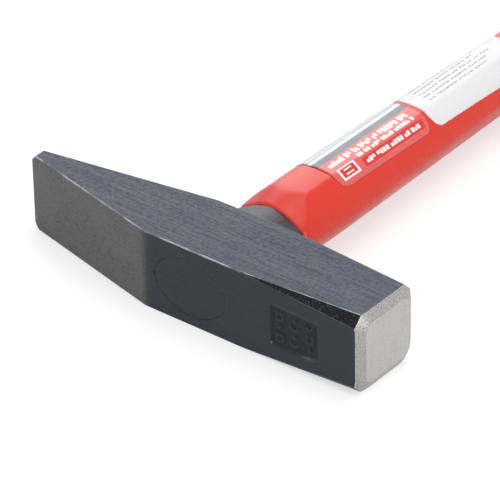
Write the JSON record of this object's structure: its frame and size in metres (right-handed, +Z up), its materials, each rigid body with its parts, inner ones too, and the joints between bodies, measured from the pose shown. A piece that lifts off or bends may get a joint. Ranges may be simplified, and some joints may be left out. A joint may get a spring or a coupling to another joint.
{
  "type": "engineer's hammer",
  "caption": "Cross-peen hammer: square forged steel head with a wedge peen, on a faceted red moulded handle with a dark soft grip and a hang hole at its butt.",
  "frame": {"origin": "centre of the lower cheek of the head, straight below the crossing of the eye's axis and the head's axis, on the plane that the hammer lies on", "axes": "+X along the head to the striking face, +Y along the handle to its butt, +Z up, out of the upper cheek"},
  "size_m": [0.0968, 0.28, 0.019],
  "materials": {
    "head_steel": "satin dark varnish over forged steel, bright ground striking face",
    "plug_resin": "cast filler painted over with the head",
    "potting_resin": "cast resin",
    "rod_glass_fibre": "pultruded glass-fibre rod",
    "carrier_plastic": "dark grey moulded, satin gloss",
    "shell_plastic": "red moulded, satin gloss",
    "grip_rubber": "matte soft moulded",
    "front_label_film": "printed glossy film",
    "rear_label_paper": "coated white paper"
  },
  "bodies": {
    "root": {"head": "head_steel", "eye_plug": "plug_resin", "eye_potting": "potting_resin", "core_rod": "rod_glass_fibre", "carrier": "carrier_plastic", "shell": "shell_plastic", "grip": "grip_rubber", "front_label": "front_label_film", "rear_label": "rear_label_paper"}
  },
  "joints": []
}
